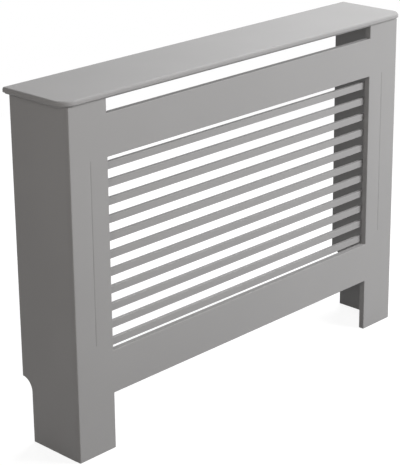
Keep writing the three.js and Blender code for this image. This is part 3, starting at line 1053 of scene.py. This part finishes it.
@dataclass(frozen=True)
class Grille:
    """The slats across the opening, stapled to the back of the front board."""

    count: int = 11
    ease: float = 1.1
    staple_from_end: float = 15
    staple_crown: float = 11
    staple_leg: float = 12
    staple_wire: tuple[float, float] = (0.6, 1.1)  # proud of the slat, and across
    staple_bend: float = 0.5
    staple_drift: float = 1.6  # how far the gun strays
    staple_tilt: float = math.radians(7)
    seed: int = 11

    def staple(self) -> BMesh:
        """Bends a staple.

        Returns:
            The staple, its crown along X on the face at Y = 0 and its legs towards -Y.
        """
        proud, across = self.staple_wire
        half = self.staple_crown / 2
        shape = block((-half, 0, -across / 2), (half, proud, across / 2))
        for end in (-1, 1):
            score(shape, (end * (half - proud), 0, 0), Vector((end, 0, 0)))
        under = [
            face for face in shape.faces
            if face.normal.y < -FLAT and abs(face.calc_center_median().x) > mm(half - proud)
        ]
        for leg in bmesh.ops.extrude_discrete_faces(shape, faces=under)["faces"]:
            bmesh.ops.translate(shape, vec=(0, mm(-self.staple_leg), 0), verts=leg.verts)
        closed(shape)
        soften(shape, self.staple_bend, 3, lambda edge: both(edge, Axis.Y, proud) and (
            both(edge, Axis.X, half) or both(edge, Axis.X, -half)))
        return shape

    def staples(self) -> BMesh:
        """Sets two staples a slat, from the lowest slat up, each a little off its mark as a gun leaves it.

        Returns:
            All the staples as one shape.
        """
        chance = random.Random(self.seed)
        pattern = self.staple()
        row = bmesh.new()
        for number in range(self.count, 0, -1):
            (_, end), (_, back), (low, high) = [span_of(f"slat_{number:02d}", axis) for axis in Axis]
            for side in Side:
                x = side.value * (end - self.staple_from_end) + chance.uniform(-1, 1) * self.staple_drift
                z = (low + high) / 2 + chance.uniform(-1, 1) * self.staple_drift
                tilt = Matrix.Rotation(chance.uniform(-1, 1) * self.staple_tilt, 4, "Y")
                one = mesh_of(placed(pattern, Vector((mm(x), mm(back), mm(z))), tilt), "staple")
                row.from_mesh(one)
                bpy.data.meshes.remove(one)
        pattern.free()
        return row

    def build(self, shop: Workshop) -> None:
        """Makes the slats from the top one down, with sanded edges, and the staples.

        Args:
            shop: Where the pieces are finished.
        """
        for number in range(1, self.count + 1):
            node = f"slat_{number:02d}"
            shape = block_of(node)
            soften(shape, self.ease, 3)
            shop.deliver_board(f"grille_{node}", shape, Axis.Y, node)
        shop.deliver("slat_staples", self.staples(), [Finish.WIRE_STEEL])


@dataclass(frozen=True)
class SideBoard:
    """A side board, notched at its rear foot to pass a skirting board."""

    side: Side
    skirting_depth: float = 30
    skirting_height: float = 152
    notch_steps: int = 16
    edge_ease: float = 0.8

    def build(self, shop: Workshop) -> None:
        """Makes the board. Its front and top edges stay crisp where other boards lie on them.

        Args:
            shop: Where its piece is finished.
        """
        node = f"{self.side.word}_side_panel"
        low, high = span_of(node, Axis.X)
        notch_front = REAR_Y - self.skirting_depth
        notch = block(
            (low - PROUD, notch_front, -PROUD),
            (high + PROUD, REAR_Y + PROUD + self.skirting_depth, self.skirting_height),
        )
        soften(
            notch, self.skirting_depth, self.notch_steps,
            lambda edge: both(edge, Axis.Y, notch_front) and both(edge, Axis.Z, self.skirting_height),
        )
        shape = worked(block_of(node), [notch])
        soften(
            shape, self.edge_ease, 3,
            lambda edge: not both(edge, Axis.Y, JOINT_Y) and not both(edge, Axis.Z, CARCASS_HEIGHT),
        )
        shape = worked(shape, HOLES.in_side(self.side))
        shop.deliver_board(f"{self.side.word}_side_board", shape, Axis.X, node)


# ---------------------------------------- the fasteners


@dataclass(frozen=True)
class CamLock:
    """A cam that a half turn of the screwdriver draws tight on its bolt's head. Sizes are the node's own."""

    radius: float = 7.2
    length: float = 12
    rim_ease: float = 0.35
    cavity: tuple[float, float] = (4.4, 7.5)  # radius and height
    cavity_offset: float = 0.4
    bolt_height: float = 7.5
    entry: float = 3.75
    slot: tuple[float, float] = (2.3, 4.6)  # half its width beside the bolt, and its height
    recess: tuple[float, float, float] = (7, 1.3, 1.8)  # length, width and depth
    arrow: tuple[float, float, float] = (5.3, 1.1, 0.35)  # place from the middle, size and depth

    def shape(self) -> BMesh:
        """Cuts a cam out of a drum.

        Returns:
            The cam, its driver face at the origin, its axis along +Z and its bolt along +X.
        """
        up = Axis.Z.vector
        drum = rod((0, 0, 0), up, self.length, self.radius)
        soften(drum, self.rim_ease, 2)
        radius, height = self.cavity
        past = 2 * self.radius
        beside, tall = self.slot
        low = self.bolt_height - tall / 2
        place, size, depth = self.arrow
        arrow = bmesh.new()
        bmesh.ops.create_cone(
            arrow, cap_ends=True, segments=3, radius1=mm(size), radius2=mm(size), depth=mm(2 * depth),
            matrix=Matrix.Translation((mm(place), 0, 0)) @ Matrix.Rotation(-math.pi / 2, 4, "Z"),
        )
        length, width, deep = self.recess
        cutters = [
            rod((-self.cavity_offset, 0, self.bolt_height - height / 2), up, height, radius, 32),
            block((-past, -beside, low), (past, past, low + tall)),
            rod((0, 0, self.bolt_height), -Axis.X.vector, past, self.entry, 32),
            arrow,
            *cross_recess(length, width, deep, 0, 1),
        ]
        return worked(drum, cutters)


@dataclass(frozen=True)
class CamBolt:
    """A steel bolt: a coarse thread for the board's face, a collar, a shank, a neck and a ball head."""

    thread: tuple[float, float, float] = (2.5, 1.9, 1.6)  # crest, root and pitch
    thread_length: float = 11
    taper: float = 2.5
    tip: float = 0.55
    collar: tuple[float, float, float] = (3.5, 0.3, 1.8)  # radius, bottom and top
    shank: tuple[float, float] = (3.0, 24.8)  # radius and top
    neck: tuple[float, float] = (1.8, 25.8)  # radius and bottom
    ball: tuple[float, float] = (3.3, 34.0)  # radius and height of its middle
    ball_steps: int = 10
    edge: float = 0.3  # of the collar

    def shape(self) -> BMesh:
        """Turns a bolt and cuts its thread.

        Returns:
            The bolt along Z, its thread below zero.
        """
        radius, low, high = self.collar
        ball, centre = self.ball
        neck_angle = math.acos(self.neck[0] / ball)
        sweep = math.pi / 2 + neck_angle
        angles = [-neck_angle + sweep * step / self.ball_steps for step in range(self.ball_steps)]
        head = [(ball * math.cos(angle), centre + ball * math.sin(angle)) for angle in angles]
        body = turned([
            (0, low), (radius - self.edge, low), (radius, low + self.edge), (radius, high - self.edge),
            (radius - self.edge, high), (self.shank[0], high), self.shank, self.neck, *head,
            (0, centre + ball),
        ])
        crest, root, pitch = self.thread
        screw = threaded_rod(crest, root, pitch, -self.thread_length, low + self.edge)
        point_end(screw, -self.thread_length, self.taper - self.thread_length, self.tip)
        return worked(body, [screw], Cut.ON)


@dataclass(frozen=True)
class Dowel:
    """A beech dowel with pressed flutes that let the glue out, and chamfered ends."""

    radius: float = 4
    length: float = 30
    chamfer: float = 1
    flutes: int = 20
    flute_depth: float = 0.35

    def shape(self) -> BMesh:
        """Flutes and chamfers a dowel.

        Returns:
            The dowel along Z from zero.
        """
        straight = self.length - 2 * self.chamfer
        shape = rod((0, 0, self.chamfer), Axis.Z.vector, straight, self.radius, 3 * self.flutes)
        for vert in shape.verts:
            turn = math.atan2(vert.co.y, vert.co.x) / math.tau * 3 * self.flutes
            if round(turn) % 3 == 0:
                vert.co.xy = vert.co.xy * (1 - self.flute_depth / self.radius)
        for way in (Axis.Z.vector, -Axis.Z.vector):
            bmesh.ops.inset_region(
                shape, faces=[face_towards(shape, way)], thickness=mm(self.chamfer), depth=mm(self.chamfer),
                use_even_offset=False, use_boundary=True,
            )
        return shape


@dataclass(frozen=True)
class PanScrew:
    """A pan-head screw for the brackets, with a crossed recess."""

    thread: tuple[float, float, float] = (1.6, 1.15, 1.4)  # crest, root and pitch
    length: float = 10
    taper: float = 3
    tip: float = 0.12
    head: tuple[float, float] = (3.6, 2.2)  # radius and height
    rim: float = 0.7
    crown_flat: float = 0.45  # share of the head's radius
    dome_steps: int = 6
    recess: tuple[float, float, float] = (3.6, 0.8, 1.3)  # length, width and depth

    def shape(self) -> BMesh:
        """Turns a screw and cuts its thread and its recess.

        Returns:
            The screw along Z, its head below zero.
        """
        radius, height = self.head
        dome = height - self.rim
        flat = radius * self.crown_flat
        angles = [math.pi / 2 * step / self.dome_steps for step in range(self.dome_steps + 1)]
        crown = [
            (flat + (radius - flat) * math.sin(angle), -self.rim - dome * math.cos(angle)) for angle in angles
        ]
        head = turned([(0, -height), *crown, (radius, 0), (0, 0)])
        crest, root, pitch = self.thread
        screw = threaded_rod(crest, root, pitch, -self.rim, self.length)
        point_end(screw, self.length, self.length - self.taper, self.tip)
        whole = worked(head, [screw], Cut.ON)
        return worked(whole, cross_recess(*self.recess, -height, 1))


@dataclass(frozen=True)
class Fasteners:
    """Every cam lock, bolt and dowel of one side board."""

    side: Side
    cam: CamLock = CamLock()
    bolt: CamBolt = CamBolt()
    dowel: Dowel = Dowel()
    dowel_in_face: float = 10.5

    def build(self, shop: Workshop) -> None:
        """Makes one of each, and sets copies of it at the nodes' places.

        Args:
            shop: Where the pieces are finished.
        """
        cam, bolt, dowel = self.cam.shape(), self.bolt.shape(), self.dowel.shape()
        into = self.side.outwards
        for joint in Joint:
            # a cam looks into the cabinet, with its bolt's side towards the other board
            turn = Matrix((-joint.out, into.cross(-joint.out), into)).transposed().to_4x4()
            along = joint.out.to_track_quat("Z", "Y").to_matrix().to_4x4()
            beech = Finish.BEECH_ALONG_Y if joint is Joint.FRONT else Finish.BEECH_ALONG_Z
            for node in Fitting.CAM.nodes(self.side, joint):
                place = middle(node)
                place.x = self.side.value * mm(HALF_CARCASS - BOARD)
                shop.deliver(f"{node}_lock", placed(cam, place, turn), [Finish.CAM_ZINC], [node], node)
            for node in Fitting.BOLT.nodes(self.side, joint):
                shape = placed(bolt, joint.seat(node), along)
                shop.deliver(f"{node}_steel", shape, [Finish.BOLT_STEEL], [node])
            for node in Fitting.DOWEL.nodes(self.side, joint):
                shape = placed(dowel, joint.seat(node) - joint.out * mm(self.dowel_in_face), along)
                shop.deliver(f"{node}_beech", shape, [beech], [node])
        for pattern in (cam, bolt, dowel):
            pattern.free()


@dataclass(frozen=True)
class WallBracket:
    """A strip of steel bent square: one leg is screwed under the shelf, the other goes to the wall."""

    side: Side
    leg: float = 36
    steel: float = 2
    bend: float = 4  # outer radius
    bend_steps: int = 8
    corner: float = 3  # of the legs' ends
    hole: float = 2.2
    wall_slot: tuple[float, float] = (22, 12)  # drop below the shelf, and length
    screw_gap: float = 2.3  # the shelf's underside to the screw's head
    screw: PanScrew = PanScrew()

    @property
    def node(self) -> str:
        """The bracket's CAD node."""
        return f"{self.side.word}_wall_bracket"

    def strip(self) -> BMesh:
        """Bends the strip and rounds its ends.

        Returns:
            The strip without its holes.
        """
        low, high = span_of(self.node, Axis.X)
        front, top = REAR_Y - self.leg, CARCASS_HEIGHT
        fold, inner = REAR_Y - self.steel, top - self.steel
        shape = block((low, front, inner), (high, REAR_Y, top))
        score(shape, (0, fold, 0), Axis.Y.vector)
        shape.normal_update()
        under = [f for f in shape.faces if f.normal.z < -FLAT and f.calc_center_median().y > mm(fold)]
        leg = bmesh.ops.extrude_discrete_faces(shape, faces=under)["faces"][0]
        bmesh.ops.translate(shape, vec=(0, 0, mm(self.steel - self.leg)), verts=leg.verts)
        closed(shape)
        soften(shape, self.corner, 5, lambda edge: self.is_leg_end(edge, front, top - self.leg))
        for radius, y, z in ((self.bend, REAR_Y, top), (self.bend - self.steel, fold, inner)):
            soften(
                shape, radius, self.bend_steps, lambda edge: both(edge, Axis.Y, y) and both(edge, Axis.Z, z)
            )
        return shape

    def is_leg_end(self, edge: BMEdge, front: float, bottom: float) -> bool:
        """Finds the edges that go through the steel at the corners of the legs' ends.

        Args:
            edge: The edge.
            front: Where the upper leg ends.
            bottom: Where the wall leg ends.

        Returns:
            Whether the edge is one of them.
        """
        through = abs(run_of(edge).length - self.steel) < NEAR
        return through and (both(edge, Axis.Y, front) or both(edge, Axis.Z, bottom))

    def slot(self) -> list[BMesh]:
        """Lays out the slot for the wall screw.

        Returns:
            The cutters: a hole at each end, and a block between them.
        """
        drop, length = self.wall_slot
        x, z = sum(span_of(self.node, Axis.X)) / 2, CARCASS_HEIGHT - drop
        reach = length / 2 - self.hole
        past = 2.5 * self.steel
        ends = [
            rod((x + way * reach, REAR_Y - past, z), Axis.Y.vector, 2 * past, self.hole, 32)
            for way in (-1, 1)
        ]
        between = block((x - reach, REAR_Y - past, z - self.hole), (x + reach, REAR_Y + past, z + self.hole))
        return [*ends, between]

    def build(self, shop: Workshop) -> None:
        """Makes the bracket and its two screws.

        Args:
            shop: Where the pieces are finished.
        """
        screws = bracket_screws(self.side)
        shape = worked(self.strip(), self.slot() + [bore(node, Axis.Z, self.hole) for node in screws])
        shop.deliver(f"{self.node}_angle", shape, [Finish.BRACKET_STEEL], [self.node])
        pattern = self.screw.shape()
        for node in screws:
            seat = middle(node)
            seat.z = mm(CARCASS_HEIGHT - self.screw_gap)
            shop.deliver(f"{node}_steel", placed(pattern, seat), [Finish.BOLT_STEEL], [node])
        pattern.free()


# ---------------------------------------- the studio


@dataclass(frozen=True)
class Softbox:
    """A square soft lamp: its place, its aim and its side in metres, its power in watts, and its colour."""

    name: str
    place: tuple[float, float, float]
    aim: tuple[float, float, float]
    side: float
    power: float
    colour: str = "#FFFFFF"
    in_gloss: bool = True  # whether gloss shows it

    def build(self) -> None:
        """Hangs the lamp."""
        lamp = bpy.data.lights.new(self.name, "AREA")
        lamp.shape = "SQUARE"
        lamp.size = self.side
        lamp.energy = self.power
        lamp.color = linear(self.colour)[:3]
        holder = in_scene(self.name, lamp)
        holder.visible_glossy = self.in_gloss
        holder.location = self.place
        holder.rotation_euler = (Vector(self.aim) - Vector(self.place)).to_track_quat("-Z", "Y").to_euler()


@dataclass(frozen=True)
class PhotoCamera:
    """The photograph's camera: its place in millimetres, its turns in radians and its lens in pixels."""

    place: tuple[float, float, float] = (-2567.46, -2422.03, 1678.21)
    yaw: float = 0.80033
    pitch: float = 0.32031
    roll: float = -0.01014
    focal: float = 1593.471
    raised: float = 58  # the optical axis above the middle of the picture
    long_side: float = 466
    film: float = 36  # the sensor along the long side

    def build(self) -> None:
        """Sets the camera up."""
        lens = bpy.data.cameras.new("photo_camera")
        lens.sensor_width = self.film
        lens.lens = self.focal * self.film / self.long_side
        lens.shift_y = -self.raised / self.long_side
        aim = Euler((math.pi / 2 - self.pitch, 0, -self.yaw)).to_matrix()
        look = aim @ Matrix.Rotation(self.roll, 3, "Z")
        camera = in_scene("photo_camera", lens)
        camera.matrix_world = Matrix.Translation([mm(value) for value in self.place]) @ look.to_4x4()
        bpy.context.scene.camera = camera


@dataclass(frozen=True)
class Studio:
    """A pale floor, white surroundings and soft lamps."""

    floor_side: float = 60
    floor_bounce: str = "#8C8C8C"  # the floor as the object's own light sees it
    floor_lit: str = "#8A8A8A"  # what the eye sees of the lamps' light on the floor round the object
    floor_dimmed: float = 0.12  # what that light makes up, so that only a shadow is less than white
    floor_round: tuple[float, float] = (1.2, 2.4)  # radii between which that light fades out
    ambient: str = "#464748"
    lamps: tuple[Softbox, ...] = (
        Softbox("key_right", (2.2, -2.9, 2.9), (0.1, 0, 0.5), 1.6, 116),
        Softbox("key_low", (1.4, -2.5, 1.55), (0.1, 0, 0.5), 1.2, 32, in_gloss=False),
        Softbox("top_rear_right", (1.9, 0.8, 2.8), (0.3, 0, 0.8), 1.0, 50),
        Softbox("fill_left", (-2.0, -0.8, 1.3), (-0.54, 0, 0.5), 0.9, 6, "#FFF8F2", in_gloss=False),
        Softbox("fill_front_left", (-3.2, -2.4, 2.4), (-0.3, 0, 0.5), 2.0, 25, "#FFFBF6", in_gloss=False),
        Softbox("fill_rear", (1.5, 3.5, 0.75), (0, 0, 0.45), 1.4, 68, in_gloss=False),
    )

    def floor(self) -> None:
        """Lays the floor: white to the eye, with the object's shadow, and mid grey to the light it bounces."""
        material = bpy.data.materials.new("pale_studio_floor")
        tree = bare_tree(material)
        eye = seen_by_eye(tree)
        place = add_node(tree, "ShaderNodeTexCoord").outputs["Object"]
        reach = add_node(tree, "ShaderNodeVectorMath", {0: place}, operation="LENGTH").outputs["Value"]
        inner, outer = self.floor_round
        near = add_node(tree, "ShaderNodeMapRange", {
            "Value": reach, "From Min": inner, "From Max": outer, "To Min": 1.0, "To Max": 0.0,
        }).outputs["Result"]
        seen = add_node(tree, "ShaderNodeMix", {
            MIX_FACTOR: near, MIX_A: linear("#000000"), MIX_B: linear(self.floor_lit),
        }, data_type="RGBA").outputs[MIX_COLOUR]
        colour = add_node(tree, "ShaderNodeMix", {
            MIX_FACTOR: eye, MIX_A: linear(self.floor_bounce), MIX_B: seen,
        }, data_type="RGBA").outputs[MIX_COLOUR]
        lit = add_node(tree, "ShaderNodeBsdfDiffuse", {"Color": colour}).outputs[0]
        white = add_node(tree, "ShaderNodeMapRange", {
            "Value": near, "To Min": 1.0, "To Max": 1 - self.floor_dimmed,
        }).outputs["Result"]
        strength = add_node(tree, "ShaderNodeMath", {0: eye, 1: white}, operation="MULTIPLY").outputs[0]
        glow = add_node(tree, "ShaderNodeEmission", {"Color": linear("#FFFFFF"), "Strength": strength})
        mixed = add_node(tree, "ShaderNodeAddShader", {0: lit, 1: glow.outputs[0]}).outputs[0]
        add_node(tree, "ShaderNodeOutputMaterial", {"Surface": mixed})
        shape = bmesh.new()
        bmesh.ops.create_grid(shape, x_segments=1, y_segments=1, size=self.floor_side / 2)
        mesh = mesh_of(shape, "studio_floor")
        mesh.materials.append(material)
        in_scene("studio_floor", mesh)

    def surroundings(self) -> None:
        """Makes the world white to the eye and a dim even light otherwise."""
        world = bpy.data.worlds.new("studio")
        tree = bare_tree(world)
        colour = add_node(tree, "ShaderNodeMix", {
            MIX_FACTOR: seen_by_eye(tree), MIX_A: linear(self.ambient), MIX_B: linear("#FFFFFF"),
        }, data_type="RGBA").outputs[MIX_COLOUR]
        sky = add_node(tree, "ShaderNodeBackground", {"Color": colour, "Strength": 1.0}).outputs[0]
        add_node(tree, "ShaderNodeOutputWorld", {"Surface": sky})
        bpy.context.scene.world = world

    def build(self) -> None:
        """Lays the floor, lights the object and sets the plain view."""
        self.floor()
        self.surroundings()
        for lamp in self.lamps:
            lamp.build()
        bpy.context.scene.view_settings.view_transform = "Standard"


# ---------------------------------------- all


def main() -> None:
    """Builds the cabinet from its boards to its fasteners, then the studio and the camera, and logs the
    triangles.
    """
    logging.basicConfig(level=logging.INFO, format="%(message)s", stream=sys.stdout)
    shop = Workshop()
    MouldedShelf().build(shop)
    SlottedFront().build(shop)
    Grille().build(shop)
    for side in Side:
        SideBoard(side).build(shop)
        Fasteners(side).build(shop)
        WallBracket(side).build(shop)
    Studio().build()
    PhotoCamera().build()
    log.info("%d triangles in all", shop.triangles)


if __name__ == "__main__":
    main()
